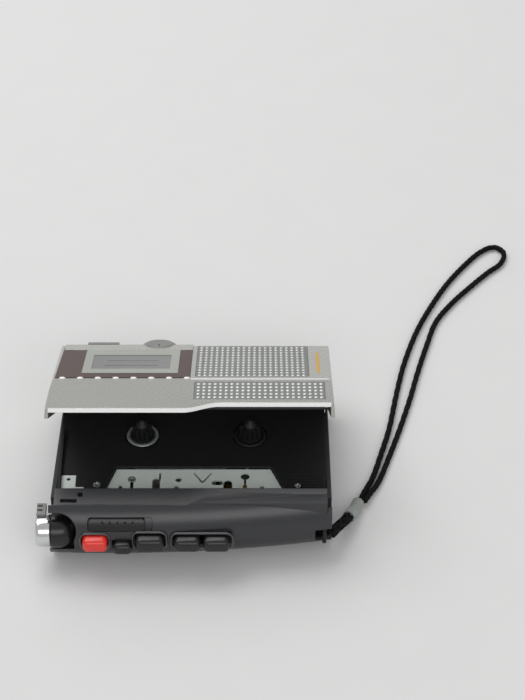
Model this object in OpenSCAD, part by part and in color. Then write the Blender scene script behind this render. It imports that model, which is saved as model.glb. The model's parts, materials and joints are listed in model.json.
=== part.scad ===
// Handheld cassette dictation machine lying on its back with its lid open.
// Millimetres, +Z up. X runs along the length, -Y is the side with the buttons,
// +Y the hinge side. The origin is the middle of the footprint, on the table.

/* [Case] */
// Length of the case, end to end
body_l = 108; // [107:0.5:112]
// Thickness with the lid shut
body_h = 32; // [31:0.5:34]
// Thickness of the moulded walls
wall = 1.6; // [1.2:0.1:1.8]
// Height of the seam between the upper housing and the bottom cover
seam_z = 12.8; // [12:0.2:13.4]

/* [Lid] */
// Angle by which the lid stands open
lid_open = 27.6; // [0:0.2:30]
// Distance of the fold from the back edge
fold_y = 48.7; // [47:0.1:50]
// Distance of the free edge from the back edge
free_y = 76.1; // [75:0.1:77]
// Drop of the front facet from the fold to the free edge
facet_drop = 3.4; // [3:0.1:4]
// How far the free edge steps back beside the grille
edge_step = 5.2; // [4:0.1:6]

/* [Buttons] */
// How far the button caps stand out of the side
cap_proud = 4; // [3:0.1:5]
// Travel of the keys
key_travel = 2.6; // [2:0.1:2.8]

/* [Tape drive] */
// Distance between the two reel spindles
hub_gap = 42.5; // [42.3:0.1:42.7]
// Height of the black deck above the table
deck_z = 19; // [18.6:0.1:19.4]

/* [Strap] */
// Thickness of the wrist cord
cord_d = 2.4; // [2:0.1:3]

/* [Hidden] */

half_l = body_l / 2;
bulge_r = 14.6;
bulge_z = 14.9;
front_y = -84.4;
bulge_y = front_y + bulge_r;
plan_r = 520;
plan_x = -30;
hinge_y = -3;
hinge_z = 4;
pin_r = 0.9;
lip_t = 1.8;
ledge_y = -67.3;
lid_half = 54.9;
mic_x = -59.3;
mic_y = -77.8;
mic_z = 15;
mic_r = 6.3;
hub_x = 1.2;
hub_y = -31;
hub_left = hub_x - hub_gap / 2;
hub_right = hub_x + hub_gap / 2;
cap_x = 20.6;
cap_y = -61.5;
motor_x = 38.5;
motor_y = -50.5;
idler_y = -46;
idler_r = 8.2;
idler_x = 21.4;
chassis_z = deck_z - 1.3;
wheel_x = -14.5;
wheel_y = -0.6;
wheel_r = 6.8;
knob_back = 2.6;
knob_top = body_h + 0.2;
case_screw_at = [[-50.4, -61.5, 11.8], [-16, -61.5, 11.8], [50.4, -61.5, 11.8],
    [50.4, -8.6, 7], [-19, -5.6, 6.4]];
cell_r = 7.05;
cell_x = [-44.8, -30.4];

// The rearmost point is the rim of the volume wheel on the open lid
back_y = hinge_y + (wheel_y + wheel_r - hinge_y) * cos(lid_open)
    + (body_h - 0.1 - hinge_z) * sin(lid_open);
cap_y0 = front_y - cap_proud + 0.4;
shift_x = -(mic_x + lid_half) / 2;
shift_y = -(cap_y0 + back_y) / 2;

shell_color = [0.69, 0.68, 0.64];
case_color = [0.27, 0.28, 0.29];
deck_color = [0.08, 0.08, 0.09];
metal_color = [0.76, 0.79, 0.77];
chrome_color = [0.85, 0.86, 0.87];
panel_color = [0.24, 0.19, 0.18];

// Height of the diagonal joint between lid and case at a distance y from the back
function part_z(y) = 5.9 - 0.24 * y;

module in_case() {
    translate([shift_x, shift_y, 0]) children();
}

module in_lid() {
    in_case()
        translate([0, hinge_y, hinge_z])
            rotate([-lid_open, 0, 0])
                translate([0, -hinge_y, -hinge_z]) children();
}

// A (y, z) outline carried along X
module along_x(x0, x1) {
    translate([x0, 0, 0]) rotate([90, 0, 90]) linear_extrude(x1 - x0) children();
}

// An (x, z) outline carried along Y
module along_y(y0, y1) {
    translate([0, y1, 0]) rotate([90, 0, 0]) linear_extrude(y1 - y0) children();
}

// An (x, y) outline carried along Z
module along_z(z0, z1) {
    translate([0, 0, z0]) linear_extrude(z1 - z0) children();
}

module box(x0, x1, y0, y1, z0, z1) {
    translate([x0, y0, z0]) cube([x1 - x0, y1 - y0, z1 - z0]);
}

module rod_x(x0, x1, y, z, r) {
    translate([x0, y, z]) rotate([0, 90, 0]) cylinder(h = x1 - x0, r = r, $fn = 64);
}

module rod_y(y0, y1, x, z, r) {
    translate([x, y1, z]) rotate([90, 0, 0]) cylinder(h = y1 - y0, r = r, $fn = 64);
}

module rod_z(z0, z1, x, y, r) {
    translate([x, y, z0]) cylinder(h = z1 - z0, r = r, $fn = 64);
}

// Flat rectangle with round corners
module round_rect(x0, x1, y0, y1, r) {
    translate([x0 + r, y0]) square([x1 - x0 - 2 * r, y1 - y0]);
    translate([x0, y0 + r]) square([x1 - x0, y1 - y0 - 2 * r]);
    for (x = [x0 + r, x1 - r], y = [y0 + r, y1 - r])
        translate([x, y]) circle(r, $fn = 48);
}

// The rounded button side, which bows gently outwards along the length
module bow(r, z0, z1) {
    intersection() {
        translate([plan_x, front_y + plan_r, 0])
            rotate([0, 0, -93.4])
                rotate_extrude(angle = 13.6, $fn = 720)
                    intersection() {
                        union() {
                            translate([plan_r - bulge_r, bulge_z]) circle(r, $fn = 96);
                            translate([plan_r - bulge_r - 18, bulge_z - r]) square([18, 2 * r]);
                        }
                        translate([plan_r - 60, z0]) square([80, z1 - z0]);
                    }
        box(-half_l, half_l, -90, ledge_y, z0, z1);
    }
}

// Outline of the lid's free edge, seen from above: an S between two straight runs
module lid_plan(grow = 0) {
    y_far = -free_y - grow;
    y_near = -free_y + edge_step - grow;
    bend = 7;
    polygon(concat(
        [[-60, 5], [-60, y_far], [-3, y_far]],
        [for (i = [0:12]) let (t = i / 12)
            [-3 + 2 * bend * t, y_far + edge_step * (0.5 - 0.5 * cos(180 * t))]],
        [[60, y_near], [60, 5]]));
}

// Side outline of the lid's outer skin, down to the diagonal joint
module lid_side() {
    r = 2.4;
    polygon(concat(
        [[-free_y, part_z(-free_y) + 0.3], [-free_y, body_h - facet_drop], [-fold_y, body_h]],
        [for (a = [90:-10:0]) [-r + r * cos(a), body_h - r + r * sin(a)]],
        [[0, part_z(0) + 0.3]]));
}

module lid_ends(inset = 0) {
    r = 1.6;
    h = lid_half - inset;
    top = body_h - inset;
    polygon(concat(
        [[-h, 2], [-h, 24], [-h + 0.5, top - r]],
        [for (a = [180:-15:90]) [-h + 0.5 + r + r * cos(a), top - r + r * sin(a)]],
        [for (a = [90:-15:0]) [h - 0.5 - r + r * cos(a), top - r + r * sin(a)]],
        [[h, 24], [h, 2]]));
}

// ---- Case ----

module hinge_room() {
    for (s = [-1, 1])
        box(s > 0 ? 49.6 : -53, s > 0 ? 53 : -49.6, -6.4, 1, 1, 16);
    box(-60, 60, -2.6, 1, 3, 16);
    box(40.8, 45.3, -5.4, 1, 1.8, 16);
}

module case_front_cuts() {
    // the key openings
    box(-41.4, -31.3, -90, -70, 12.9, 18.9);
    box(-29.9, -21.9, -90, -70, 11.5, 16.6);
    box(-21.3, -9.8, -90, -70, 12.7, 19.3);
    box(-6.6, 15.2, -90, -70, 12.9, 18.9);
    // the microphone's seat, open towards the front and the top
    rod_x(-60, -44.4, mic_y, mic_z, 7.1);
    translate([-50.5, mic_y, mic_z]) rotate([46.5, 0, 0]) cylinder(h = 20, r = 7.1, $fn = 96);
    translate([-60, mic_y, mic_z]) rotate([46.5, 0, 0]) translate([0, -7.1, 0]) cube([9.5, 14.2, 20]);
    // the strap's notch
    box(47.6, 56, -84, -72.6, 8.2, 15.6);
}

module bottom_cover() color(case_color) in_case()
    difference() {
        union() {
            difference() {
                union() {
                    bow(bulge_r, 0, seam_z);
                    along_x(-half_l, half_l)
                        polygon([[-68, 0.3], [-64, 0], [-3, 0], [-0.6, 2.2], [-0.6, part_z(0)],
                            [-28.7, seam_z], [-68, seam_z]]);
                }
                bow(bulge_r - wall, wall, 20);
                box(-half_l + 1.8, half_l - 1.8, -70, -2.4, wall, 30);
            }
            // hinge lugs
            for (s = [-1, 1])
                along_x(s > 0 ? 45.4 : -49.4, s > 0 ? 49.4 : -45.4) union() {
                    translate([hinge_y, hinge_z]) circle(2.4, $fn = 48);
                    translate([hinge_y - 2.4, 1]) square([4.4, 3]);
                }
            // screw posts
            for (p = case_screw_at) rod_z(1, p[2], p[0], p[1], 1.75);
            // battery bay walls and its roof supports
            box(-52.3, -22.6, -59.6, -58.6, wall, 10);
            box(-22.9, -21.9, -59.6, -5, wall, 10);
        }
        hinge_room();
        case_front_cuts();
        // battery opening
        box(-51.8, -23.4, -58, -5.6, -1, wall + 1);
        // pin bores
        for (s = [-1, 1])
            rod_x(s > 0 ? 40 : -60, s > 0 ? 60 : -40, hinge_y, hinge_z, pin_r);
        // screw holes
        for (p = case_screw_at) {
            rod_z(-1, 30, p[0], p[1], 0.95);
            rod_z(-1, 1.2, p[0], p[1], 1.7);
        }
        // sockets in the end wall
        rod_x(52, 56, -33, 8.2, 3.1);
        rod_x(52, 56, -22.5, 7.8, 2.5);
    }

module main_housing() color(case_color) in_case()
    difference() {
        union() {
            difference() {
                union() {
                    bow(bulge_r, seam_z, 30);
                    intersection() {
                        along_x(-half_l, half_l)
                            polygon([[-76.2, seam_z], [-28.6, seam_z], [-76.2, part_z(-76.2)]]);
                        union() {
                            box(-half_l, -half_l + 1.8, -80, 0, 0, 40);
                            box(half_l - 1.8, half_l, -80, 0, 0, 40);
                        }
                    }
                    box(-half_l, half_l, -75.8, ledge_y, 20, 28);
                }
                bow(bulge_r - wall, 5, 24.8);
                box(-half_l + 1.8, half_l - 1.8, -75.4, ledge_y + 9, 5, 24.8);
            }
            // screw posts
            for (x = [-50.4, 50.4]) rod_z(seam_z - 1, 16.4, x, -61.5, 2.1);
        }
        // seat of the lid's free edge
        intersection() {
            along_z(10, 40) lid_plan(0.25);
            along_x(-60, 60)
                polygon([[-82, 25.5], [-48.7, 29.6], [0, 29.6], [0, 40], [-82, 40]]);
        }
        // notches for the lid's corners
        for (s = [-1, 1])
            box(s > 0 ? 52.2 : -60, s > 0 ? 60 : -52.2, -76.4, -60, part_z(-70) + 0.4, 40);
        case_front_cuts();
        // bed of the pause slider
        difference() {
            along_y(-90, -72) round_rect(-39, -14.4, 20.2, 24.9, 1.2);
            rod_x(-40, -14, bulge_y, bulge_z, bulge_r - 1.25);
        }
        // slot and hole on the ledge
        box(-49.6, -43.4, -73.9, -72.3, 20, 40);
        rod_z(20, 40, -42.1, -70.2, 1.1);
        rod_z(10, 17, -50.4, -61.5, 0.95);
        rod_z(10, 17, 50.4, -61.5, 0.95);
    }

module battery_door() color(case_color) in_case()
    difference() {
        box(-51.7, -23.5, -57.9, -5.7, 0, wall);
        for (i = [0:3]) box(-42, -33, -12 - 1.6 * i, -11.2 - 1.6 * i, -1, 0.5);
    }

module battery_cells() color([0.55, 0.5, 0.35]) in_case()
    for (i = [0, 1]) {
        rod_y(-56, -7.2, cell_x[i], 9, cell_r);
        if (i == 0) rod_y(-7.2, -4.9, cell_x[i], 9, 2.7);
        if (i == 1) rod_y(-58.2, -56, cell_x[i], 9, 2.7);
    }

module coil_cone(x, y0, y1) {
    turns = 4;
    pitch = (y1 - y0) / turns;
    for (i = [0:turns - 1])
        translate([x, y0 + pitch * (i + 0.5), 9])
            rotate([90, 0, 0])
                rotate_extrude($fn = 48)
                    translate([2.2 + 0.6 * i, 0]) circle(0.3, $fn = 16);
    for (i = [0:turns - 2])
        rod_y(y0 + pitch * (i + 0.5), y0 + pitch * (i + 1.5), x + 2.5 + 0.6 * i, 9, 0.42);
}

module contact_springs() color(chrome_color) in_case() {
    coil_cone(cell_x[1], -7, -5);
    coil_cone(cell_x[0], -58.2, -56.2);
}

module contact_plates() color(chrome_color) in_case() {
    for (i = [0, 1]) {
        box(cell_x[i] - 4.5, cell_x[i] + 4.5, -4.8, -4.3, 3, 15);
        box(cell_x[i] - 4.5, cell_x[i] + 4.5, -58.55, -58.25, 3, 15);
    }
}

// ---- Tape drive ----

// The recess for the thick, trapezoid edge of a cassette
module nose_plan(grow = 0) {
    polygon([[-29.8 - grow, -48 + grow], [-33.6 - grow, -59.5], [-36.2 - grow, -68],
        [38.4 + grow, -68], [35.6 + grow, -59.5], [30.8 + grow, -48 + grow]]);
}

module deck_plate() color(deck_color) in_case()
    difference() {
        union() {
            box(-52.2, 52.2, -66.8, -4.4, deck_z - 1, deck_z);
            // side rail
            box(-51.9, -50.9, -66.8, -28, deck_z - 1, deck_z + 2.2);
            // ribbed floor at the right
            for (i = [0:8]) box(37.5, 50.9, -66 + 1.7 * i, -65.2 + 1.7 * i, deck_z - 1, deck_z + 0.3);
        }
        along_z(deck_z - 3, deck_z + 3) nose_plan();
        for (x = [hub_left, hub_right]) rod_z(deck_z - 3, deck_z + 2, x, hub_y, 6.9);
        rod_z(deck_z - 3, deck_z + 2, 41, -58.5, 1.5);
        rod_z(deck_z - 3, deck_z + 2, -36.8, -58, 1.1);
        box(-51, -45, -62, -52.4, deck_z - 3, deck_z + 1);
        box(45, 49.6, -63, -61.4, deck_z - 3, deck_z + 1);
    }

module mechanism_chassis() color(metal_color) in_case()
    difference() {
        union() {
            along_z(chassis_z - 0.8, chassis_z) nose_plan(-0.25);
            // folded legs that stand on the bottom cover
            box(-20.6, -19.8, -64.4, -58, wall, chassis_z - 0.8);
            box(34.2, 35, -67.4, -64, wall, chassis_z - 0.8);
        }
        // openings for capstan, heads and guide posts
        rod_z(10, 20, cap_x, cap_y, 1.5);
        rod_z(10, 20, cap_x, -52, 1.8);
        rod_z(10, 20, -27.7, -57.6, 0.8);
        rod_z(10, 20, -23.4, -54, 1.5);
        box(-24, -22.8, -58.5, -54, 10, 20);
        rod_z(10, 20, -14, -54.4, 1.5);
        box(-15.5, -12.5, -66, -54.4, 10, 20);
        box(-12.9, -12.2, -54.2, -50, 10, 20);
        rod_z(10, 20, -5.3, -53.8, 1.2);
        along_z(10, 20) polygon([[0.2, -50], [0.9, -50], [4, -54.4], [7.3, -50], [8, -50],
            [4.4, -55.4], [3.6, -55.4]]);
        along_z(10, 20) round_rect(7.6, 12, -56.6, -54.1, 1.2);
        box(12.2, 15.6, -66, -55.6, 10, 20);
        rod_z(10, 20, 13.9, -55.6, 1.7);
        box(20.2, 21, -58.5, -53, 10, 20);
        box(18.8, 23.6, -59.8, -58.3, 10, 20);
        box(6, 12.4, -59.4, -58.8, 10, 20);
        // slot along which the head slide's studs run
        for (x = [-6, 27.2]) box(x - 0.8, x + 0.8, -65.6, -57.2, 10, 20);
    }

module side_bracket() color(metal_color) in_case() {
    difference() {
        union() {
            box(-50.8, -45.2, -61.8, -52.6, deck_z - 0.7, deck_z - 0.1);
            box(-45.2, -41.9, -60.9, -59.6, deck_z + 0.1, deck_z + 0.7);
            box(-45.8, -45.2, -60.9, -59.6, deck_z - 0.7, deck_z + 0.7);
        }
        rod_z(10, 25, -48, -54.6, 0.8);
    }
}

// Spindle with six wings over a turntable
module spindle(x, skirt_r) {
    difference() {
        union() {
            rod_z(deck_z - 4.4, deck_z - 2.6, x, hub_y, skirt_r);
            rod_z(deck_z - 2.6, deck_z + 0.2, x, hub_y, 6.4);
            rod_z(deck_z + 0.2, deck_z + 1, x, hub_y, 4.7);
            rod_z(deck_z + 1, deck_z + 6.4, x, hub_y, 2.5);
            for (i = [0:5])
                translate([x, hub_y, deck_z + 1]) rotate([0, 0, 60 * i])
                    translate([0, -0.55, 0]) cube([3.9, 1.1, 4.4]);
            translate([x, hub_y, deck_z + 6.4]) cylinder(h = 2.2, r1 = 2.5, r2 = 0.6, $fn = 64);
        }
        rod_z(0, deck_z + 5, x, hub_y, 0.85);
        difference() {
            rod_z(deck_z - 0.4, deck_z + 1, x, hub_y, 5.9);
            rod_z(deck_z - 1, deck_z + 2, x, hub_y, 4.7);
        }
    }
}

module supply_spindle() color([0.12, 0.12, 0.13]) in_case() spindle(hub_left, 4);

module takeup_spindle() color([0.12, 0.12, 0.13]) in_case() spindle(hub_right, 6.7);

module flywheel() color([0.7, 0.66, 0.5]) in_case() {
    difference() {
        rod_z(11.4, 13.9, cap_x, cap_y, 11.5);
        difference() {
            rod_z(12.2, 13.4, cap_x, cap_y, 13);
            rod_z(12, 14, cap_x, cap_y, 10.8);
        }
    }
    rod_z(13.9, 16.3, cap_x, cap_y, 7.1);
    rod_z(16.3, deck_z + 3, cap_x, cap_y, 0.9);
    rod_z(5, 11.4, cap_x, cap_y, 0.9);
}

module capstan_bearing() color([0.72, 0.6, 0.3]) in_case()
    difference() {
        union() {
            rod_z(wall, 11.1, cap_x, cap_y, 2.6);
            rod_z(wall, 2.6, cap_x, cap_y, 4.2);
        }
        rod_z(4, 30, cap_x, cap_y, 0.94);
    }

module idler_wheel() color([0.15, 0.15, 0.15]) in_case()
    difference() {
        rod_z(14.6, 16.3, idler_x, idler_y, idler_r);
        rod_z(10, 30, idler_x, idler_y, 0.85);
    }

module drive_motor() color(chrome_color) in_case() {
    rod_z(wall, 10.4, motor_x, motor_y, 9.6);
    rod_z(10.4, 11.2, motor_x, motor_y, 3);
}

module motor_pulley() color([0.8, 0.65, 0.3]) in_case() {
    difference() {
        rod_z(11.4, 14.2, motor_x, motor_y, 2.9);
        difference() {
            rod_z(12.2, 13.4, motor_x, motor_y, 4);
            rod_z(12, 14, motor_x, motor_y, 2.2);
        }
    }
}

module belt_plan(extra) {
    hull() {
        translate([cap_x, cap_y]) circle(10.85 + extra, $fn = 96);
        translate([motor_x, motor_y]) circle(2.25 + extra, $fn = 48);
    }
}

module drive_belt() color([0.05, 0.05, 0.05]) in_case()
    along_z(12.4, 13.2)
        difference() {
            belt_plan(0.6);
            belt_plan(0);
        }

module head_slide() color(metal_color) in_case() {
    z0 = chassis_z + 0.15;
    box(-11, 30.4, -76, -68.5, z0, z0 + 0.7);
    for (x = [-6, 27.2]) {
        box(x - 0.5, x + 0.5, -68.6, -63.6, z0, z0 + 0.7);
        box(x - 0.5, x + 0.5, -65.2, -63.6, z0 - 1.1, z0);
    }
}

module tape_head() color(chrome_color) in_case()
    intersection() {
        box(-4.6, 7, -75.6, -67, chassis_z + 0.85, deck_z + 5.2);
        rod_z(10, 30, 1.2, -74.3, 6.1);
    }

module erase_head() color([0.3, 0.3, 0.32]) in_case()
    box(-10.4, -6.6, -74.6, -70.6, chassis_z + 0.85, deck_z + 4.6);

module pinch_arm() color(metal_color) in_case()
    difference() {
        union() {
            box(16.6, 29.6, -75.6, -70, chassis_z + 0.85, chassis_z + 1.55);
            box(26.4, 29.6, -74, -70.6, chassis_z + 1.55, chassis_z + 4);
        }
        rod_z(10, 30, 20.5, -71.5, 0.72);
    }

module pinch_roller() color([0.1, 0.1, 0.1]) in_case() {
    rod_z(chassis_z + 1.85, chassis_z + 6.5, 20.5, -71.5, 3);
    rod_z(chassis_z + 0.95, chassis_z + 6.9, 20.5, -71.5, 0.68);
}

// Steel plate under the deck that carries the pins of spindles and idler
module base_plate() color(metal_color) in_case()
    union() {
        box(-22.8, 49, -44.4, -25, 13, 13.8);
        box(16, 27, -48, -44.4, 13, 13.8);
        for (x = [hub_left, hub_right]) rod_z(13.8, deck_z + 4.5, x, hub_y, 0.8);
        rod_z(13.8, 16.2, idler_x, idler_y, 0.8);
        for (p = [[-20.4, -41], [11.4, -42.6], [47.6, -39.8]]) rod_z(wall, 13, p[0], p[1], 1.1);
    }

// ---- Electrics ----

module circuit_board() color([0.12, 0.35, 0.2]) in_case()
    difference() {
        union() {
            box(-20.8, 48.4, -38.4, -8, 4, 5.2);
            for (i = [0:4]) box(-16 + 11 * i, -10 + 11 * i, -30, -24, 5.2, 7);
            for (i = [0:3]) rod_z(5.2, 11, -14 + 9 * i, -15, 2.4);
            box(-12, 6, -38, -35, 5.2, 9);
            for (x = [-19, 8, 46], y = [-37, -10]) rod_z(wall, 4, x, y, 1.5);
        }
        rod_z(0, 10, 40, -11.4, 1.1);
    }

module earphone_jack() color(deck_color) in_case()
    difference() {
        union() {
            box(41, 52.1, -36.8, -29.4, 5.2, 11.4);
            rod_x(52.1, 54, -33, 8.2, 3);
        }
        rod_x(42, 56, -33, 8.2, 1.8);
    }

module power_jack() color(deck_color) in_case()
    difference() {
        union() {
            box(43, 52.1, -25.6, -19.4, 5.2, 10.6);
            rod_x(52.1, 53.9, -22.5, 7.8, 2.4);
        }
        rod_x(44, 56, -22.5, 7.8, 1.6);
        rod_x(40, 47, -22.5, 7.8, 0.5);
    }

module record_switch() color([0.85, 0.85, 0.8]) in_case()
    box(-19, 9, -48.4, -43.4, wall, 9.6);

// ---- Keys ----

// One key: a rounded cap with a flange and a stem inside
module key(x0, x1, z0, z1, proud, stem) {
    r = min(2.2, (z1 - z0) / 2 - 0.2);
    y_face = front_y - proud;
    intersection() {
        along_y(y_face - 1, -79.6) round_rect(x0, x1, z0, z1, r);
        along_x(x0 - 1, x1 + 1)
            polygon([[y_face + 1.1, z1 + 1], [y_face, z1 - 1.1], [y_face, z0 + 0.9],
                [y_face + 0.9, z0 - 1], [-70, z0 - 1], [-70, z1 + 1]]);
    }
    box((x0 + x1) / 2 - 1.4, (x0 + x1) / 2 + 1.4, -79.6, -stem, z0 + 1, z0 + 3);
}

module record_button() color([0.8, 0.12, 0.08]) in_case()
    key(-41.1, -31.6, 13.1, 18.7, cap_proud - 0.4, 69);

module stop_button() color(case_color) in_case()
    key(-29.6, -22.2, 11.7, 16.4, cap_proud - 0.4, 69);

module play_button() color(case_color) in_case()
    key(-21, -10.1, 12.9, 19.1, cap_proud - 0.4, 69);

module rewind_button() color(case_color) in_case()
    key(-6.3, 3.8, 13.1, 18.7, cap_proud - 0.4, 69);

module forward_button() color(case_color) in_case()
    key(4.8, 14.9, 13.1, 18.7, cap_proud - 0.4, 69);

module key_spring_comb() color(metal_color) in_case() {
    box(-42, 15, -65.2, -64.8, wall, 7);
    for (x = [-36.35, -25.9, -15.55, -1.25, 9.85])
        box(x - 1, x + 1, -65.2, -64.8, 7, x > 5 ? 10.8 : 15.6);
}

module pause_slider() color([0.17, 0.17, 0.18]) in_case()
    difference() {
        intersection() {
            along_y(-84, -70) round_rect(-38.7, -17.3, 20.5, 24.6, 1.1);
            rod_x(-39, -17, bulge_y, bulge_z, bulge_r + 0.15);
        }
        rod_x(-40, -16, bulge_y, bulge_z, bulge_r - 1.1);
        for (i = [0:4]) rod_y(-90, -60, -33.4 + 2.9 * i, 23.4, 0.3);
    }

// ---- Microphone ----

module mic_barrel() color(chrome_color) in_case()
    difference() {
        union() {
            rod_x(mic_x + 0.8, -53.2, mic_y, mic_z, mic_r);
            rod_x(mic_x, mic_x + 0.8, mic_y, mic_z, mic_r - 0.5);
        }
        rod_x(mic_x - 1, -54.2, mic_y, mic_z, mic_r - 1.3);
        rod_x(-54.4, -50, mic_y, mic_z, 2);
    }

module mic_fairing() color(case_color) in_case()
    difference() {
        union() {
            rod_x(-53.2, -50.4, mic_y, mic_z, 6.8);
            intersection() {
                translate([-50.4, mic_y, mic_z]) sphere(6.8, $fn = 96);
                box(-50.4, -40, -90, -60, 0, 30);
            }
        }
        rod_x(-54, -50, mic_y, mic_z, 4.9);
    }

module mic_capsule() color([0.6, 0.6, 0.58]) in_case()
    difference() {
        rod_x(mic_x + 0.6, -54.2, mic_y, mic_z, mic_r - 1.3);
        for (i = [0:5])
            translate([0, mic_y + 2.4 * cos(60 * i), mic_z + 2.4 * sin(60 * i)])
                rod_x(mic_x, mic_x + 1.6, 0, 0, 0.45);
    }

module mic_bracket() color([0.5, 0.52, 0.52]) in_case()
    difference() {
        box(-58.8, -55.3, -76.4, -70.6, 20.2, 22.4);
        rod_x(-60, -50, mic_y, mic_z, mic_r);
        for (i = [0, 1]) box(-60, -56.6, -74.6 + 2.2 * i, -73.6 + 2.2 * i, 21.6, 26);
    }

// ---- Fittings ----

module lid_latch() color(case_color) in_case() {
    box(-49.2, -45.8, -73.6, -72.6, 21, 25.6);
    box(-49.2, -45.8, -72.6, -69.4, 23.6, 25);
}

module hinge_pins() color(chrome_color) in_case()
    for (s = [-1, 1])
        rod_x(s > 0 ? 41.2 : -52.3, s > 0 ? 52.3 : -44.6, hinge_y, hinge_z, pin_r);

module lid_spring() color(chrome_color) in_case()
    for (i = [0:5])
        translate([41.6 + 0.6 * i, hinge_y, hinge_z])
            rotate([0, 90, 0]) rotate_extrude($fn = 48) translate([1.25, 0]) circle(0.24, $fn = 16);

module screw(x, y, z0, z1, head_r, head_h, up) {
    z_head = up ? z1 - head_h : z0;
    difference() {
        union() {
            rod_z(z0, z1, x, y, 0.9);
            rod_z(z_head, z_head + head_h, x, y, head_r);
        }
        for (a = [0, 90])
            translate([x, y, up ? z1 : z0]) rotate([0, 0, a])
                cube([2 * head_r * 0.7, 0.36, 0.7], center = true);
    }
}

module case_screws() color([0.2, 0.2, 0.2]) in_case()
    for (p = case_screw_at) screw(p[0], p[1], 0.1, 11, 1.6, 1, false);

module deck_screws() color(chrome_color) in_case() {
    screw(-36.8, -58, deck_z - 1.6, deck_z + 0.7, 1.5, 0.65, true);
    screw(41, -58.5, deck_z - 1.6, deck_z + 0.5, 1.2, 0.5, true);
    screw(-23.4, -54, chassis_z - 2, chassis_z + 0.6, 1.4, 0.6, true);
}

// ---- Lid ----

grille_x0 = 1.2;
grille_x1 = 51.4;

module lid_shell() color(shell_color) in_lid()
    difference() {
        union() {
            difference() {
                intersection() {
                    along_x(-60, 60) lid_side();
                    along_y(-90, 5) lid_ends();
                    along_z(0, 50) lid_plan();
                }
                along_x(-lid_half + 1.5, lid_half - 1.5)
                    polygon([[-90, body_h - facet_drop - lip_t - 1.72], [-fold_y, body_h - lip_t],
                        [-wall, body_h - lip_t], [-wall, 0], [-90, 0]]);
            }
            // ears that hang on the pins
            for (s = [-1, 1])
                along_x(s > 0 ? 49.8 : -52.6, s > 0 ? 52.6 : -49.8) union() {
                    translate([hinge_y, hinge_z]) circle(2.2, $fn = 48);
                    translate([hinge_y - 1.4, hinge_z]) square([3.6, 9]);
                }
        }
        for (s = [-1, 1])
            rod_x(s > 0 ? 45 : -53, s > 0 ? 53 : -45, hinge_y, hinge_z, pin_r + 0.05);
        // window opening and the bed of its panel
        along_z(body_h - 0.6, body_h + 1)
            polygon([[-52.6, -3.6], [-0.7, -3.6], [-0.7, -fold_y + 0.9], [-53.2, -fold_y + 0.9]]);
        along_z(20, 50) round_rect(-42, -6.8, -40.4, -12.2, 1.5);
        // grille openings in both facets and over the rounded back edge
        along_z(20, 50) round_rect(grille_x0, 45.6, -46, -2.6, 1);
        box(grille_x0, grille_x1, -68, -51.2, 20, 50);
        // notch of the volume wheel
        rod_z(body_h - 3.3, 50, wheel_x, wheel_y, wheel_r + 0.5);
        // slot of the speed switch in the back wall
        box(-40.4, -34.2, -3, 1, 26.4, 29.4);
    }

module window_panel() color(panel_color) in_lid()
    difference() {
        along_z(body_h - 0.6, body_h + 0.25)
            polygon([[-52.5, -3.7], [-0.8, -3.7], [-0.8, -fold_y + 1], [-53.1, -fold_y + 1]]);
        along_z(20, 50) round_rect(-41.8, -7, -40.2, -12.4, 1.4);
        rod_z(20, 50, wheel_x, wheel_y, wheel_r + 0.5);
    }

module window_lens() color([0.72, 0.75, 0.72, 0.5]) in_lid() {
    along_z(body_h - 1.3, body_h - 0.1) round_rect(-41.7, -7.1, -40.1, -12.5, 1.3);
    along_z(body_h - lip_t - 0.8, body_h - lip_t)
        difference() {
            round_rect(-43.6, -5.2, -42, -10.6, 1.5);
            round_rect(-41.2, -7.6, -39.6, -13, 1);
        }
    for (y = [-39.85, -12.75]) box(-41.5, -7.3, y - 0.2, y + 0.2, body_h - lip_t - 0.8, body_h - 1.3);
}

// A thin slotted plate with rows of ribs that let the sound through
module slotted(x0, x1, y0, y1, rows) {
    pitch = (y1 - y0) / rows;
    difference() {
        square_from(x0, x1, y0, y1);
        for (i = [0:rows - 1]) square_from(x0 + 1.4, x1 - 1.4, y0 + pitch * i + 0.6,
            y0 + pitch * (i + 1) - 0.6);
    }
    for (i = [1:11]) {
        x = x0 + (x1 - x0) * i / 12;
        square_from(x - 0.5, x + 0.5, y0, y1);
    }
}

module square_from(x0, x1, y0, y1) {
    translate([x0, y0]) square([x1 - x0, y1 - y0]);
}

module speaker_grille() color(shell_color) in_lid() {
    along_z(body_h - 1.2, body_h) slotted(grille_x0 + 0.1, 45.5, -45.9, -2.7, 14);
    // the front facet's plate slopes down with the lid
    translate([0, -fold_y, body_h])
        rotate([atan(facet_drop / (free_y - fold_y)), 0, 0])
            translate([0, fold_y, -body_h])
                along_z(body_h - 1.2, body_h) slotted(grille_x0 + 0.1, grille_x1 - 0.1, -67.9, -51.3, 5);
}

module speaker_cone() color([0.2, 0.18, 0.16]) in_lid() {
    rod_z(body_h - 3.4, body_h - 2, 23.6, -26, 18);
}

module speaker_magnet() color([0.5, 0.5, 0.5]) in_lid()
    rod_z(body_h - 3.9, body_h - 3.4, 23.6, -26, 8);

// Dark frame inside the lid: it stiffens the shell and holds the cassette
module lid_liner() color([0.2, 0.2, 0.21]) in_lid()
    difference() {
        union() {
            along_x(-51.6, 51.6)
                polygon([[-67, 27.9], [-67, 25.2], [-65.6, 25.2], [-65.6, 28.1]]);
            for (x = [-51.6, 50.6])
                along_x(x, x + 1)
                    polygon([[-66.9, 27.3], [-64, 27.9], [-8, 27.9], [-8, 29.8], [-48.7, 29.8],
                        [-66.9, 27.8]]);
        }
        box(31, 32.6, -70, -60, 27.1, 30);
    }

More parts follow.
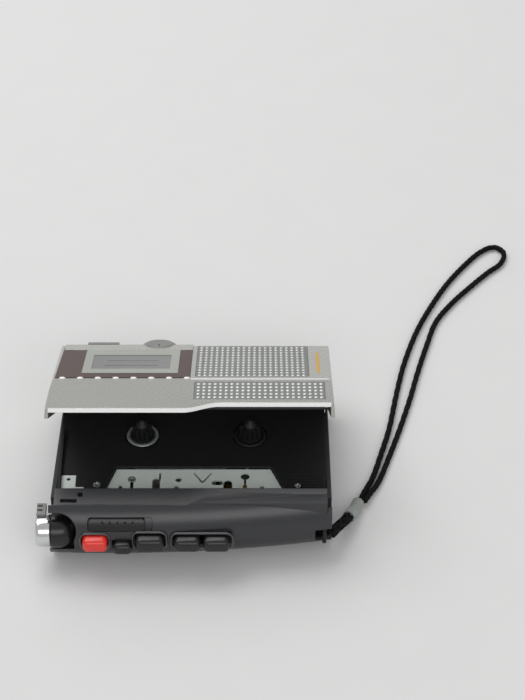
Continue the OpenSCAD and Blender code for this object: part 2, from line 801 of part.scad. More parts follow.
module cassette_springs() color(metal_color) in_lid()
    for (x = [-48, -3.4])
        along_x(x - 1.5, x + 1.5)
            polygon([[-44, 29.9], [-44, 30.2], [-30, 30.2], [-22, 29.2], [-14, 30.2], [-12, 30.2],
                [-12, 29.9], [-14, 29.9], [-22, 28.9], [-30, 29.9]]);

module volume_wheel() color([0.6, 0.6, 0.56]) in_lid()
    difference() {
        union() {
            rod_z(body_h - 2.9, body_h - 0.1, wheel_x, wheel_y, wheel_r);
            translate([wheel_x, wheel_y, body_h - 0.1]) cylinder(h = 0.9, r1 = wheel_r, r2 = 5.2, $fn = 96);
        }
        for (i = [0:35])
            translate([wheel_x, wheel_y, body_h - 4]) rotate([0, 0, 10 * i])
                translate([wheel_r + 0.15, 0, 0]) cylinder(h = 6, r = 0.4, $fn = 24);
        box(wheel_x - 0.2, wheel_x + 0.2, wheel_y - 4.8, wheel_y - 1.4, body_h + 0.4, body_h + 2);
        rod_z(20, body_h - 0.6, wheel_x, wheel_y, 1.05);
    }

module volume_pot() color([0.3, 0.3, 0.3]) in_lid() {
    box(wheel_x - 5, wheel_x + 5, -9, -1.6, body_h - 4, body_h - 3.4);
    rod_z(body_h - 5, body_h - 0.9, wheel_x, wheel_y, 1);
}

module speed_switch() color([0.35, 0.35, 0.34]) in_lid() {
    box(-43.6, -31, 0.15, knob_back, 24, knob_top);
    box(-38.9, -35.7, -2.4, 0.15, 26.9, 28.9);
}

// ---- Strap ----

module strap_post() color(chrome_color) in_case()
    rod_z(7.2, 16.6, 51.2, -76.6, 0.9);

// Ring of eight points across the path at point i
function toward(a, b) = (b - a) / norm(b - a);
function tangent(p, i) = toward(p[max(i - 1, 0)], p[min(i + 1, len(p) - 1)]);
function ring(p, i, r, sides) =
    let (t = tangent(p, i), u = toward([0, 0, 0], cross([0, 0, 1], t)), v = cross(t, u))
    [for (k = [0:sides - 1]) p[i] + r * (cos(360 * k / sides) * u + sin(360 * k / sides) * v)];

// Catmull-Rom points between the hand-set ones, so that rings sit a few diameters apart
function bend(a, b, c, d, t) = 0.5 * (2 * b + (c - a) * t + (2 * a - 5 * b + 4 * c - d) * t * t
    + (3 * b - a - 3 * c + d) * t * t * t);
function smooth(p, n) = concat([for (i = [0:len(p) - 2], k = [0:n - 1])
    bend(p[max(i - 1, 0)], p[i], p[i + 1], p[min(i + 2, len(p) - 1)], k / n)], [p[len(p) - 1]]);

module swept(p, r, sides = 8) {
    n = len(p);
    points = [for (i = [0:n - 1]) each ring(p, i, r, sides)];
    sides_faces = [for (i = [0:n - 2], k = [0:sides - 1])
        [i * sides + k, (i + 1) * sides + k, (i + 1) * sides + (k + 1) % sides,
            i * sides + (k + 1) % sides]];
    first = [for (k = [0:sides - 1]) k];
    last = [for (k = [sides - 1:-1:0]) (n - 1) * sides + k];
    polyhedron(points, concat([first, last], sides_faces), convexity = 10);
}

// Route of the cord from the ferrule, out around the loop and back to the ferrule
sleeve_path = [[54, -76.6, 12], [56, -72.4, 10.4], [58.6, -67.4, 8], [61, -62.6, 5.8]];
ferrule_path = [[61, -62.6, 5.8], [63.2, -57.4, 3.8], [65.2, -52, 2.6]];
cord_path = [[65.6, -51, 1.9], [68, -45, 1.5], [71.5, -37, 1.3], [75, -25, 1.3], [79, -10, 1.3],
    [83, 11, 1.3], [87, 29, 1.3], [93, 48, 1.3], [100, 64, 1.3], [108, 79, 1.3], [117, 92, 1.3],
    [124, 100, 1.3], [130, 103, 1.3], [134, 99, 1.3], [132, 92, 1.3], [126, 86, 1.3],
    [118, 77, 1.3], [109, 66, 1.3], [101.5, 54, 1.3], [97, 40, 1.3], [92.5, 24, 1.3],
    [88.5, 8, 1.3], [84, -8, 1.3], [79, -24, 1.3], [74, -39, 1.6], [70.2, -46.4, 2.2],
    [67.6, -51.6, 2.9]];

module strap_sleeve() color([0.1, 0.1, 0.1]) in_case() swept(smooth(sleeve_path, 2), 2.1, 12);

module strap_ferrule() color(chrome_color) in_case() swept(smooth(ferrule_path, 2), 2.5, 12);

module strap_cord() color([0.08, 0.08, 0.08]) in_case()
    swept(smooth(cord_path, 2), cord_d / 2, 8);

bottom_cover();
main_housing();
battery_door();
battery_cells();
contact_springs();
contact_plates();
deck_plate();
mechanism_chassis();
side_bracket();
supply_spindle();
takeup_spindle();
flywheel();
capstan_bearing();
idler_wheel();
drive_motor();
motor_pulley();
drive_belt();
head_slide();
tape_head();
erase_head();
pinch_arm();
pinch_roller();
base_plate();
circuit_board();
earphone_jack();
power_jack();
record_switch();
record_button();
stop_button();
play_button();
rewind_button();
forward_button();
key_spring_comb();
pause_slider();
mic_barrel();
mic_fairing();
mic_capsule();
mic_bracket();
lid_latch();
hinge_pins();
lid_spring();
case_screws();
deck_screws();
lid_shell();
window_panel();
window_lens();
speaker_grille();
speaker_cone();
speaker_magnet();
lid_liner();
cassette_springs();
volume_wheel();
volume_pot();
speed_switch();
strap_post();
strap_sleeve();
strap_ferrule();
strap_cord();
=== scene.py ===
# %% [markdown]
# # A handheld cassette dictation machine with its lid open
# The machine lies on its flat back on a pale table. Its lid stands open, so that the reel
# spindles and the bright steel mechanism plate can be seen in the cassette well.
# The frame gives every rigid piece, in metres, with +Z up. The cells below give each piece
# its material and build the soft and fine pieces that a solid model leaves plain.

# %% Load the frame
import json
import math

import bmesh
import bpy
from mathutils import Matrix, Vector


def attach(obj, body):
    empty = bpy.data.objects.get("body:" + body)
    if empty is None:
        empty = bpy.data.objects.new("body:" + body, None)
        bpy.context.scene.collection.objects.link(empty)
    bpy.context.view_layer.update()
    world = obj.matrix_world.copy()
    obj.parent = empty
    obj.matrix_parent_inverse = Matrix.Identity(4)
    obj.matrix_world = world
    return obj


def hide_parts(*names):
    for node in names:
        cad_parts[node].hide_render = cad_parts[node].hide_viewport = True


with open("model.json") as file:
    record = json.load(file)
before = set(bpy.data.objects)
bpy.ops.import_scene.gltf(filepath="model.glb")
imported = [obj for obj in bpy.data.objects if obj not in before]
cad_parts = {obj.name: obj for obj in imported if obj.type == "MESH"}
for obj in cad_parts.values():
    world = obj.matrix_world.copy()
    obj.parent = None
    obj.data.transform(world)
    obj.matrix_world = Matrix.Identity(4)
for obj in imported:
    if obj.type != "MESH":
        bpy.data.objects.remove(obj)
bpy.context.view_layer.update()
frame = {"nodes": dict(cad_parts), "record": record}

NODES = frame["nodes"]
print("pieces in the frame:", len(NODES))

# %% [markdown]
# The drawing of the machine has its own zero: the middle of the back edge of the case.
# Two shifts bring a drawn point into the frame. A point on the lid is drawn with the lid
# shut and is then turned about the hinge, because that is how a lid is designed.

# %% Places on the case and on the lid
MM = 0.001
SHIFT_X = 2.2
HINGE_Y = -3.0
HINGE_Z = 4.0
LID_OPEN = math.radians(27.6)
WHEEL_RIM_Y = 6.2
WHEEL_RIM_Z = 31.9
KEY_FACE_Y = -88.0
RIM_BACK = (WHEEL_RIM_Y - HINGE_Y) * math.cos(LID_OPEN)
RIM_BACK += (WHEEL_RIM_Z - HINGE_Z) * math.sin(LID_OPEN) + HINGE_Y
SHIFT_Y = -(KEY_FACE_Y + RIM_BACK) / 2


def on_case(x, y, z):
    """A drawn point, in millimetres, as a place in the frame."""
    return Vector(((x + SHIFT_X) * MM, (y + SHIFT_Y) * MM, z * MM))


LID_MATRIX = (
    Matrix.Translation(on_case(0, HINGE_Y, HINGE_Z))
    @ Matrix.Rotation(-LID_OPEN, 4, "X")
    @ Matrix.Translation(-on_case(0, HINGE_Y, HINGE_Z))
)


def on_lid(x, y, z):
    """A point drawn with the lid shut, where it is with the lid open."""
    return LID_MATRIX @ on_case(x, y, z)


print("shift of the drawing in mm:", SHIFT_X, round(SHIFT_Y, 3))

# %% [markdown]
# The camera looks down at the machine from in front and above, through a long lens. Its
# place and lens set the size of every piece in view, so it comes before them.

# %% Camera
CAMERA_LENS = 120
CAMERA_DOWN = 43.5
SENSOR_WIDTH = 27.0
camera_data = bpy.data.cameras.new("camera")
camera_data.lens = CAMERA_LENS
camera_data.sensor_fit = "HORIZONTAL"
camera_data.sensor_width = SENSOR_WIDTH
camera_data.clip_end = 10
camera = bpy.data.objects.new("camera", camera_data)
bpy.context.scene.collection.objects.link(camera)
camera.location = on_case(27.4, -678.3, 680.0)
camera.rotation_euler = (math.radians(90 - CAMERA_DOWN), 0, 0)
bpy.context.scene.camera = camera
print("camera lens in mm:", CAMERA_LENS)

# %% [markdown]
# Every finish is a procedural material. One function lays the same few layers over a base
# colour: a slow drift in tone, fine grain in the roughness, a slight bump, and dust. A
# bevel in the shader rounds the sharp edges of moulded and pressed pieces.

# %% Material kit


def add(tree, kind, **inputs):
    """A shader node with some of its sockets set."""
    node = tree.nodes.new(kind)
    for name, value in inputs.items():
        node.inputs[name.replace("_", " ")].default_value = value
    return node


def surface(name, color, rough=0.45, metal=0.0, grain=900.0, bump=0.15, tone=0.06,
            edge=0.00025, dust=0.06, coat=0.0, spec=0.5, streak=None):
    """A finish with drifting tone, grained roughness, bump, soft edges and dust."""
    material = bpy.data.materials.new(name)
    material.use_nodes = True
    tree = material.node_tree
    link = tree.links.new
    shader = tree.nodes["Principled BSDF"]
    shader.inputs["Metallic"].default_value = metal
    shader.inputs["Coat Weight"].default_value = coat
    shader.inputs["Coat Roughness"].default_value = 0.12
    shader.inputs["Specular IOR Level"].default_value = spec
    place = tree.nodes.new("ShaderNodeTexCoord")
    stretch = tree.nodes.new("ShaderNodeMapping")
    stretch.inputs["Scale"].default_value = streak or (1, 1, 1)
    link(place.outputs["Object"], stretch.inputs["Vector"])
    slow = add(tree, "ShaderNodeTexNoise", Scale=45.0, Detail=3.0)
    fine = add(tree, "ShaderNodeTexNoise", Scale=grain, Detail=4.0)
    link(place.outputs["Object"], slow.inputs["Vector"])
    link(stretch.outputs["Vector"], fine.inputs["Vector"])
    darker = tuple(c * (1 - 2 * tone) for c in color) + (1,)
    lighter = tuple(min(1, c * (1 + tone) + 0.01 * tone) for c in color) + (1,)
    ramp = tree.nodes.new("ShaderNodeMix")
    ramp.data_type = "RGBA"
    ramp.inputs[6].default_value = darker
    ramp.inputs[7].default_value = lighter
    link(slow.outputs["Fac"], ramp.inputs[0])
    specks = tree.nodes.new("ShaderNodeMapRange")
    specks.inputs["From Min"].default_value = 0.62
    specks.inputs["From Max"].default_value = 0.8
    specks.inputs["To Max"].default_value = dust
    link(fine.outputs["Fac"], specks.inputs["Value"])
    dusty = tree.nodes.new("ShaderNodeMix")
    dusty.data_type = "RGBA"
    dusty.inputs[7].default_value = (0.55, 0.54, 0.5, 1)
    link(specks.outputs["Result"], dusty.inputs[0])
    link(ramp.outputs[2], dusty.inputs[6])
    link(dusty.outputs[2], shader.inputs["Base Color"])
    gloss = tree.nodes.new("ShaderNodeMapRange")
    gloss.inputs["To Min"].default_value = max(0.02, rough - 0.1)
    gloss.inputs["To Max"].default_value = min(1.0, rough + 0.12)
    link(fine.outputs["Fac"], gloss.inputs["Value"])
    link(gloss.outputs["Result"], shader.inputs["Roughness"])
    soft = tree.nodes.new("ShaderNodeBevel")
    soft.samples = 4
    soft.inputs["Radius"].default_value = edge
    relief = add(tree, "ShaderNodeBump", Strength=bump, Distance=0.00012)
    link(fine.outputs["Fac"], relief.inputs["Height"])
    link(soft.outputs["Normal"], relief.inputs["Normal"])
    link(relief.outputs["Normal"], shader.inputs["Normal"])
    return material


FINISH = {
    "case_plastic": surface("case_plastic", (0.02, 0.021, 0.0245), 0.3, grain=2600, bump=0.06,
                            edge=0.0004, spec=0.6, dust=0.02),
    "deck_plastic": surface("deck_plastic", (0.012, 0.012, 0.0135), 0.5, grain=2200, dust=0.02,
                            spec=0.35),
    "plated_steel": surface("plated_steel", (0.80, 0.87, 0.83), 0.42, 0.1, grain=500, dust=0.02,
                            streak=(1, 0.06, 1), bump=0.05),
    "bright_metal": surface("bright_metal", (0.72, 0.73, 0.74), 0.16, 1.0, dust=0.02),
    "brass_wheel": surface("brass_wheel", (0.62, 0.47, 0.22), 0.25, 1.0, dust=0.02),
    "drive_rubber": surface("drive_rubber", (0.02, 0.02, 0.02), 0.75),
    "board_green": surface("board_green", (0.03, 0.15, 0.06), 0.3),
    "white_plastic": surface("white_plastic", (0.7, 0.7, 0.62), 0.4),
    "red_plastic": surface("red_plastic", (0.75, 0.025, 0.015), 0.22, coat=0.4, edge=0.0008,
                           tone=0.03, dust=0.0, bump=0.02, grain=6000),
    "key_plastic": surface("key_plastic", (0.008, 0.0083, 0.0092), 0.25, coat=0.15, edge=0.0008,
                           bump=0.02, dust=0.0, spec=0.4, grain=6000),
    "grey_plastic": surface("grey_plastic", (0.2, 0.205, 0.195), 0.4, edge=0.0003),
    "black_screws": surface("black_screws", (0.03, 0.03, 0.03), 0.35, 0.8),
    "silver_shell": surface("silver_shell", (0.47, 0.47, 0.445), 0.27, 0.6, grain=3000, bump=0.03,
                            edge=0.0005, dust=0.02, tone=0.03),
    "brown_panel": surface("brown_panel", (0.085, 0.056, 0.052), 0.34, grain=1500, bump=0.04,
                           dust=0.04, spec=0.12),
    "clear_window": surface("clear_window", (0.33, 0.345, 0.31), 0.22, bump=0.03, edge=0.0003,
                            tone=0.08, spec=0.3),
    "paper_cone": surface("paper_cone", (0.05, 0.045, 0.04), 0.85),
    "cell_wrap": surface("cell_wrap", (0.28, 0.22, 0.1), 0.3, 0.3),
    # painted reflection: a darker, streaked tone for the middle of the opaque window
    "window_shade": surface("window_shade", (0.2, 0.205, 0.2), 0.3, streak=(0.05, 1, 1),
                            grain=700, tone=0.12, spec=0.3),
    # painted shade: darker grey for the plate that shows between the lugs
    "grille_pit": surface("grille_pit", (0.22, 0.23, 0.22), 0.55, 0.2, dust=0.02),
    # painted highlight: lug tops lighter than the silver shell
    "lug_metal": surface("lug_metal", (0.74, 0.76, 0.75), 0.22, 0.35, edge=0.0002, tone=0.02),
    # painted highlight: a near-white finish for the lid's lip, its fold and the glints along the
    # fold
    "bright_edge": surface("bright_edge", (0.93, 0.93, 0.92), 0.3, 0.15, edge=0.0003,
                           tone=0.01, dust=0.01),
    "rim_grey": surface("rim_grey", (0.30, 0.33, 0.31), 0.25, 0.4, dust=0.02),
    "orange_print": surface("orange_print", (0.62, 0.36, 0.06), 0.45, dust=0.3, grain=2600),
    "dark_glass": surface("dark_glass", (0.03, 0.031, 0.034), 0.12, coat=0.7, edge=0.0005,
                          dust=0.02),
    "braided_cord": surface("braided_cord", (0.003, 0.003, 0.0034), 0.75, grain=4000, bump=0.4,
                            dust=0.02, spec=0.15),
}
finish_of = {}
for part in frame["record"]["subparts"]:
    finish_of[part["node"]] = part["material_slot"]
# the post and the ferrule are duller than the other bright metal
finish_of["strap_post"] = "black_screws"
finish_of["strap_ferrule"] = "rim_grey"
for node_name, piece in NODES.items():
    piece.data.materials.clear()
    piece.data.materials.append(FINISH[finish_of[node_name]])
print("finishes:", len(FINISH))

# %% [markdown]
# The wrist cord is a thin braided nylon cord, folded into one long loop. Both ends enter
# the ferrule. A braid is round strands that cross over and under each other, so the tube
# swells and sinks along two families of spirals.

# %% Wrist cord
CORD_ROUTE = [
    (65.6, -51, 1.9), (68, -45, 1.5), (71.5, -37, 1.3), (75, -25, 1.3), (79, -10, 1.3),
    (83, 11, 1.3), (87, 29, 1.3), (93, 48, 1.3), (100, 64, 1.3), (108, 79, 1.3),
    (117, 92, 1.3), (124, 100, 1.3), (130, 103, 1.3), (134, 99, 1.3), (132, 92, 1.3),
    (126, 86, 1.3), (118, 77, 1.3), (109, 66, 1.3), (101.5, 54, 1.3), (97, 40, 1.3),
    (92.5, 24, 1.3), (88.5, 8, 1.3), (84, -8, 1.3), (79, -24, 1.3), (74, -39, 1.6),
    (70.2, -46.4, 2.2), (67.6, -51.6, 2.9)]
SLEEVE_ROUTE = [(54, -76.6, 12), (56, -72.4, 10.4), (58.6, -67.4, 8), (61, -62.6, 5.8)]
CORD_R = 1.2
SLEEVE_R = 2.1


def smooth_route(points, step):
    """Points about step millimetres apart on a smooth curve through the given ones."""
    p = [on_case(*q) for q in points]
    out = []
    for i in range(len(p) - 1):
        a, b, c, d = p[max(i - 1, 0)], p[i], p[i + 1], p[min(i + 2, len(p) - 1)]
        count = max(2, round((c - b).length / (step * MM)))
        for k in range(count):
            t = k / count
            out.append(0.5 * (2 * b + (c - a) * t + (2 * a - 5 * b + 4 * c - d) * t * t
                              + (3 * b - a - 3 * c + d) * t ** 3))
    out.append(p[-1])
    return out


def braid(name, route, radius, strands, lay, sides=16, depth=0.1):
    """A braided tube along the route; depth is the share by which it sinks between strands."""
    mesh = bpy.data.meshes.new(name)
    shape = bmesh.new()
    rings = []
    travelled = 0.0
    for i, point in enumerate(route):
        ahead = route[min(i + 1, len(route) - 1)] - route[max(i - 1, 0)]
        ahead.normalize()
        side = Vector((0, 0, 1)).cross(ahead).normalized()
        up = ahead.cross(side)
        if i:
            travelled += (point - route[i - 1]).length
        ring = []
        for k in range(sides):
            angle = 2 * math.pi * k / sides
            turn = 2 * math.pi * travelled / lay
            left_laid = math.cos(strands * angle + turn)
            right_laid = math.cos(strands * angle - turn)
            r = radius * (1 - depth + depth * max(left_laid, right_laid))
            ring.append(shape.verts.new(point + r * (math.cos(angle) * side
                                                     + math.sin(angle) * up)))
        rings.append(ring)
    for first, second in zip(rings, rings[1:]):
        for k in range(sides):
            n = (k + 1) % sides
            shape.faces.new((first[k], second[k], second[n], first[n]))
    shape.faces.new(rings[0])
    shape.faces.new(rings[-1][::-1])
    shape.normal_update()
    shape.to_mesh(mesh)
    shape.free()
    for face in mesh.polygons:
        face.use_smooth = True
    piece = bpy.data.objects.new(name, mesh)
    bpy.context.scene.collection.objects.link(piece)
    mesh.materials.append(FINISH["braided_cord"])
    return piece


cord_line = smooth_route(CORD_ROUTE, 0.5)
cord = braid("wrist_cord", cord_line, CORD_R * MM, 3, 0.005, sides=12, depth=0.17)
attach(cord, "case")
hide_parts("strap_cord")
sleeve_line = smooth_route(SLEEVE_ROUTE, 0.3)
sleeve = braid("strap_braid", sleeve_line, SLEEVE_R * MM, 3, 0.0062, sides=24, depth=0.34)
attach(sleeve, "case")
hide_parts("strap_sleeve")

# %% [markdown]
# The speaker grille is pressed from the lid's own sheet. Rows of small raised lugs stand on it,
# with a slit between each pair that lets the sound out. Each lug is one small rounded box, lighter
# than the shell as a painted highlight, and a dark plate under each field of lugs is painted shade
# that stands for the slits.

# %% Speaker grille
FOLD_Y = -48.7
FREE_Y = -76.1
DROP = 3.4
LID_TOP = 32.0
SLOPE = DROP / (FOLD_Y - FREE_Y)


def lid_height(y):
    """Height of the shut lid's outer face at a distance y."""
    return LID_TOP if y > FOLD_Y else LID_TOP - (FOLD_Y - y) * SLOPE


def rounded_lug(shape, x, y, wide, deep, high, sink=0.0):
    """A small pillow-shaped lug on the lid's outer face."""
    z = lid_height(y)
    tilt = 0.0 if y > FOLD_Y else SLOPE
    levels = [(1.0, -sink), (0.86, high * 0.6), (0.5, high)]
    rows = []
    for scale, rise in levels:
        row = []
        for k in range(8):
            a = math.pi / 8 + math.pi / 4 * k
            dx = scale * wide / 2 * max(-1, min(1, 1.25 * math.cos(a)))
            dy = scale * deep / 2 * max(-1, min(1, 1.25 * math.sin(a)))
            row.append(shape.verts.new(on_lid(x + dx, y + dy, z + rise + dy * tilt)))
        rows.append(row)
    for low, top in zip(rows, rows[1:]):
        for k in range(8):
            n = (k + 1) % 8
            shape.faces.new((low[k], low[n], top[n], top[k]))
    shape.faces.new(rows[-1])


def finish_mesh(name, shape, material, body, smooth=False):
    """Turns a bmesh into a piece that rides on a body."""
    shape.normal_update()
    mesh = bpy.data.meshes.new(name)
    shape.to_mesh(mesh)
    shape.free()
    for face in mesh.polygons:
        face.use_smooth = smooth
    piece = bpy.data.objects.new(name, mesh)
    bpy.context.scene.collection.objects.link(piece)
    mesh.materials.append(FINISH[material])
    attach(piece, body)
    return piece


def lid_slab(shape, x0, x1, y0, y1, low, high):
    """A flat block that follows the lid's face from low to high above it."""
    corners = []
    for rise in (low, high):
        for x, y in ((x0, y0), (x1, y0), (x1, y1), (x0, y1)):
            corners.append(shape.verts.new(on_lid(x, y, lid_height(y) + rise)))
    b0, b1, b2, b3, t0, t1, t2, t3 = corners
    for face in ((b0, b3, b2, b1), (t0, t1, t2, t3), (b0, b1, t1, t0), (b1, b2, t2, t1),
                 (b2, b3, t3, t2), (b3, b0, t0, t3)):
        shape.faces.new(face)


COLUMN_PITCH = 2.14
LUG_WIDE = 1.25
LUG_DEEP = 1.5
LUG_HIGH = 0.16
# each field: its four sides, the lugs across and deep, and the distance between rows
GRILLE_FIELDS = [(1.3, 45.5, -45.9, -2.7, 20, 12, 3.55), (1.3, 51.3, -67.9, -51.3, 23, 5, 3.1)]
plate = bmesh.new()
lugs = bmesh.new()
for x0, x1, y0, y1, columns, rows_of_lugs, pitch in GRILLE_FIELDS:
    # painted shade: a dark plate under the lugs
    lid_slab(plate, x0, x1, y0, y1, -1.2, -0.05)
    for i in range(columns):
        for j in range(rows_of_lugs):
            x = x0 + 1.5 + COLUMN_PITCH * i
            y = y0 + 1.9 + pitch * j
            # painted highlight: each lug in the lighter finish
            rounded_lug(lugs, x, y, LUG_WIDE, LUG_DEEP, LUG_HIGH, sink=0.1)
grille_plate = finish_mesh("grille_plate", plate, "grille_pit", "lid")
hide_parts("speaker_grille")
grille_lugs = finish_mesh("grille_lugs", lugs, "lug_metal", "lid", smooth=True)
print("grille faces:", len(grille_lugs.data.polygons))

# %% [markdown]
# The lid's rim catches the light: its free edge and the fold beside the grille carry painted
# highlights, near-white strips that stand in for the light on their bevels. Both are thin strips
# laid on the shell, so that they follow its S-shaped edge.

# %% Painted highlights on the lid's bevels
STEP_FROM = -3
STEP_LENGTH = 14
STEP_BACK = 5.2


def free_edge(x):
    """Distance of the shut lid's free edge from the back at a place along it."""
    t = min(1.0, max(0.0, (x - STEP_FROM) / STEP_LENGTH))
    return FREE_Y + STEP_BACK * (0.5 - 0.5 * math.cos(math.pi * t))


def strip(shape, path, low, high, thick):
    """A thin ribbon on the lid: its face runs from low to high below and above the path."""
    last = None
    for x, y in path:
        z = lid_height(y)
        ring = [shape.verts.new(on_lid(x, y - thick, z + low)),
                shape.verts.new(on_lid(x, y - thick, z + high)),
                shape.verts.new(on_lid(x, y, z + high + 0.05)),
                shape.verts.new(on_lid(x, y, z + low))]
        if last:
            for k in range(4):
                n = (k + 1) % 4
                shape.faces.new((last[k], last[n], ring[n], ring[k]))
        else:
            shape.faces.new(ring)
        last = ring
    shape.faces.new(last[::-1])


lip = bmesh.new()
# painted highlight along the free edge of the lid
strip(lip, [(x * 0.5, free_edge(x * 0.5)) for x in range(-107, 108)], -1.75, -0.1, 0.12)
finish_mesh("lid_lip", lip, "bright_edge", "lid")
fold = bmesh.new()
# painted highlight along the fold of the lid
lid_slab(fold, -0.4, 53.2, FOLD_Y - 0.75, FOLD_Y + 0.1, -0.1, 0.06)
finish_mesh("lid_fold", fold, "bright_edge", "lid")
print("bevels: 2")

# %% [markdown]
# The window is a clear plate with a pale frame and a sunken, streaked middle through which the
# reels of a cassette are watched; here the plate is opaque, and its darker streaked middle is
# painted reflection. A row of small lugs along the fold carries painted highlights: glints of the
# lamps on the glossy edge.

# %% Window
window = bmesh.new()
lid_slab(window, -43.2, -5.6, -42.2, -36.4, -0.5, 0.42)
lid_slab(window, -43.2, -5.6, -16.8, -9.3, -0.5, 0.42)
lid_slab(window, -43.2, -39.8, -36.4, -16.8, -0.5, 0.42)
lid_slab(window, -9.0, -5.6, -36.4, -16.8, -0.5, 0.42)
window_frame = finish_mesh("window_frame", window, "clear_window", "lid")
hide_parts("window_lens")
middle = bmesh.new()
# painted reflection: the darker, streaked middle of the window
lid_slab(middle, -39.9, -8.9, -36.5, -16.7, -0.5, 0.2)
for y in (-31.0, -24.5):
    lid_slab(middle, -30 + y / 6, -14, y, y + 0.5, 0.19, 0.3)
finish_mesh("window_middle", middle, "window_shade", "lid")
glint_lugs = bmesh.new()
# painted highlights: near-white lugs that stand in for the lamps' glints along the fold
for i in range(8):
    rounded_lug(glint_lugs, -50.2 + 6.9 * i, FOLD_Y + 0.6, 2.6, 1.1, 0.5, sink=0.3)
finish_mesh("ridge_ticks", glint_lugs, "bright_edge", "lid", smooth=True)
band = bmesh.new()
lid_slab(band, -52.4, -0.7, -9.0, -1.4, -0.1, 0.34)
finish_mesh("panel_back_band", band, "silver_shell", "lid")
label = bmesh.new()
lid_slab(label, 48.6, 49.9, -40.5, -12.0, -0.05, 0.04)
finish_mesh("side_stripe", label, "orange_print", "lid")
print("window pieces: 5")

# %% [markdown]
# The keys are glossy moulded caps with generous rounded corners. Each is a block with
# bevelled edges, and a shallow dash is moulded on its front face.

# %% Keys
KEYS = {
    "record": (-41.1, -31.6, 13.1, 18.7, "red_plastic"),
    "stop": (-29.6, -22.2, 11.7, 16.4, "key_plastic"),
    "play": (-21.0, -10.1, 12.9, 19.1, "key_plastic"),
    "rewind": (-6.3, 3.8, 13.1, 18.7, "key_plastic"),
    "forward": (4.8, 14.9, 13.1, 18.7, "key_plastic"),
}


def rounded_block(name, x0, x1, y0, y1, z0, z1, radius, material, body, cuts=4):
    """A block with all its edges rounded, placed on the case."""
    shape = bmesh.new()
    corner = on_case(x0, y0, z0)
    size = on_case(x1, y1, z1) - corner
    bmesh.ops.create_cube(shape, size=1.0)
    for vert in shape.verts:
        vert.co = corner + Vector([(c + 0.5) * d for c, d in zip(vert.co, size)])
    bmesh.ops.bevel(shape, geom=shape.edges[:], offset=radius * MM, segments=cuts,
                    profile=0.5, affect="EDGES", clamp_overlap=True)
    return finish_mesh(name, shape, material, body, smooth=True)


CAP_ROOT_Y = -79.6
CAP_ROUND = 1.9
DASH_HALF = 1.6
for key, (x0, x1, z0, z1, material) in KEYS.items():
    cap = rounded_block(key + "_cap", x0, x1, KEY_FACE_Y, CAP_ROOT_Y, z0 - 0.2, z1 + 0.1,
                        CAP_ROUND, material, key + "_key")
    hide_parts(key + "_button")
    middle_x = (x0 + x1) / 2
    rounded_block(key + "_dash", middle_x - DASH_HALF, middle_x + DASH_HALF, KEY_FACE_Y,
                  KEY_FACE_Y + 1.5, z0 + 1.9, z0 + 2.4, 0.2, "grey_plastic", key + "_key",
                  cuts=1)
print("keys:", len(KEYS))

# %% [markdown]
# The microphone sits in a plated ring at the end of the case. It is turned on a lathe from
# one profile, so that its outer edge is round and its middle stays open for the capsule.

# %% Microphone ring


def turned(name, profile, y, z, material, body):
    """A solid turned about an axis along the length: profile holds (x, radius) pairs."""
    shape = bmesh.new()
    count = 64
    rings = []
    for x, radius in profile:
        ring = []
        for k in range(count):
            a = 2 * math.pi * k / count
            ring.append(shape.verts.new(on_case(x, y + radius * math.cos(a),
                                                z + radius * math.sin(a))))
        rings.append(ring)
    for i, ring in enumerate(rings):
        after = rings[(i + 1) % len(rings)]
        for k in range(count):
            n = (k + 1) % count
            shape.faces.new((ring[k], after[k], after[n], ring[n]))
    return finish_mesh(name, shape, material, body, smooth=True)


MIC_PROFILE = [(-58.6, 4.9), (-59.1, 5.0), (-59.28, 5.25), (-59.2, 5.6), (-58.9, 5.95),
               (-58.4, 6.18), (-57.7, 6.28), (-54.2, 6.28), (-53.5, 6.1), (-53.22, 5.7),
               (-53.22, 2.1), (-54.1, 2.1), (-54.3, 4.9)]
MIC_Y = -77.8
MIC_Z = 15
mic_ring = turned("mic_ring", MIC_PROFILE, MIC_Y, MIC_Z, "bright_metal", "case")
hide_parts("mic_barrel")
print("microphone ring, radius in mm:", max(radius for x, radius in MIC_PROFILE))

# %% [markdown]
# A raised collar stands round each group of keys and keeps a finger from pressing two
# groups at once. It follows the bulge of the key side.

# %% Collars
BULGE_RADIUS = 14.6
BULGE_Y = -69.8
BULGE_Z = 14.9


def collar(name, x0, x1, z0, z1, y, wire=0.55):
    """A raised rim of round section about an opening in the key side."""
    shape = bmesh.new()
    corner_r = 2.4
    outline = []
    for cx, cz, start in ((x1 - corner_r, z1 - corner_r, 0), (x0 + corner_r, z1 - corner_r, 90),
                          (x0 + corner_r, z0 + corner_r, 180), (x1 - corner_r, z0 + corner_r, 270)):
        for k in range(7):
            a = math.radians(start + 15 * k)
            outline.append((cx + corner_r * math.cos(a), cz + corner_r * math.sin(a),
                            math.cos(a), math.sin(a)))
    rings = []
    for x, z, nx, nz in outline:
        reach = BULGE_RADIUS ** 2 - (z - BULGE_Z) ** 2
        y_here = max(y, BULGE_Y - math.sqrt(max(0.0, reach))) - 0.05
        ring = []
        for k in range(8):
            a = math.pi / 4 * k
            r = wire * math.cos(a)
            place = on_case(x + r * nx, y_here - wire * math.sin(a), z + r * nz)
            ring.append(shape.verts.new(place))
        rings.append(ring)
    for i, ring in enumerate(rings):
        after = rings[(i + 1) % len(rings)]
        for k in range(8):
            n = (k + 1) % 8
            shape.faces.new((ring[k], ring[n], after[n], after[k]))
    return finish_mesh(name, shape, "dark_glass", "case", smooth=True)


SIDE_Y = -84.3
COLLAR_FOOT = 12.0
collar("record_collar", -42.0, -30.9, COLLAR_FOOT, 19.5, SIDE_Y)
collar("play_collar", -22.1, -9.1, COLLAR_FOOT, 20.1, SIDE_Y)
collar("wind_collar", -7.4, 16.0, COLLAR_FOOT, 19.7, SIDE_Y)
print("collars:", 3)
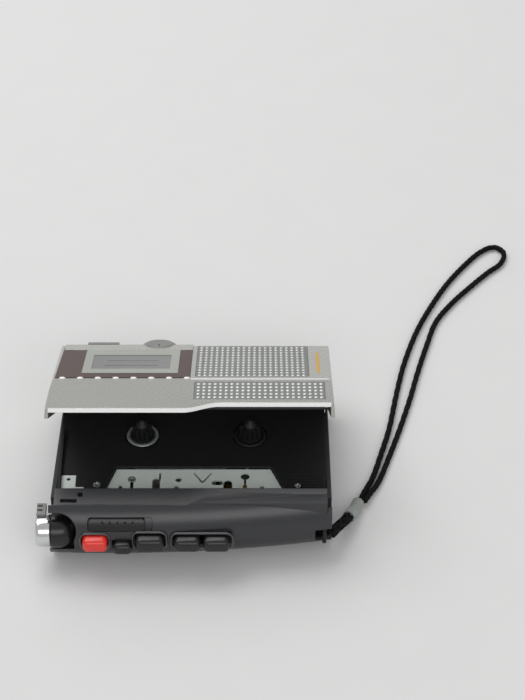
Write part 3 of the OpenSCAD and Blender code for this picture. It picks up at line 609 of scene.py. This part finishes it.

# %% [markdown]
# Each reel spindle turns in a grey ring that is pressed into the deck. The take-up ring is drawn in
# the dark deck finish as painted shade, for the lid's shadow that falls over that spindle.

# %% Spindle rims


def disc_ring(name, x, y, z, r_in, r_out, high, material, body):
    """A flat ring lying on the deck."""
    shape = bmesh.new()
    count = 48
    rings = []
    for r, dz in ((r_in, 0), (r_in + 0.1, high), (r_out - 0.2, high), (r_out, 0)):
        ring = []
        for k in range(count):
            a = 2 * math.pi * k / count
            ring.append(shape.verts.new(on_case(x + r * math.cos(a), y + r * math.sin(a), z + dz)))
        rings.append(ring)
    for low, top in zip(rings, rings[1:]):
        for k in range(count):
            n = (k + 1) % count
            shape.faces.new((low[k], top[k], top[n], low[n]))
    return finish_mesh(name, shape, material, body, smooth=True)


SUPPLY_X = -20.05
TAKEUP_X = 22.45
HUB_Y = -31
RIM_Z = 19.25
RIM_IN = 4.9
RIM_OUT = 6.35
disc_ring("supply_rim", SUPPLY_X, HUB_Y, RIM_Z, RIM_IN, RIM_OUT, 0.35, "rim_grey",
          "supply_spindle")
# painted shade: the take-up ring takes the dark deck finish for the lid's shadow
disc_ring("takeup_rim", TAKEUP_X, HUB_Y, RIM_Z, RIM_IN, RIM_OUT, 0.3, "deck_plastic",
          "takeup_spindle")
print("spindle rims:", 2)

# %% [markdown]
# The table is a plain pale sheet. One broad soft light stands behind and above on the left,
# a weaker one fills from the front, and an even pale sky keeps the shadows open.

# %% Table and light
bpy.ops.mesh.primitive_plane_add(size=6, location=(0, 0, -0.0001))
table = bpy.context.object
table.name = "table"
table.data.materials.append(surface("table_paper", (0.70, 0.70, 0.70), 0.9, grain=300, bump=0.02,
                                    tone=0.012, dust=0.0, spec=0.1))


def soft_light(name, place, aim, size, power):
    """A broad area light that points at a place."""
    data = bpy.data.lights.new(name, "AREA")
    data.shape = "RECTANGLE"
    data.size, data.size_y = size
    data.energy = power
    lamp = bpy.data.objects.new(name, data)
    bpy.context.scene.collection.objects.link(lamp)
    lamp.location = place
    lamp.rotation_euler = (Vector(aim) - Vector(place)).to_track_quat("-Z", "Y").to_euler()


soft_light("sky_panel", (-0.35, 0.55, 1.1), (0, 0, 0), (1.2, 0.9), 9.0)
soft_light("front_fill", (0.15, -1.0, 0.75), (0, -0.02, 0.02), (1.2, 0.5), 4.0)
world = bpy.data.worlds.new("studio")
bpy.context.scene.world = world
world.use_nodes = True
world.node_tree.nodes["Background"].inputs["Color"].default_value = (0.945, 0.94, 0.935, 1)
world.node_tree.nodes["Background"].inputs["Strength"].default_value = 0.55
bpy.context.scene.view_settings.view_transform = "Standard"
print("lights:", 2)
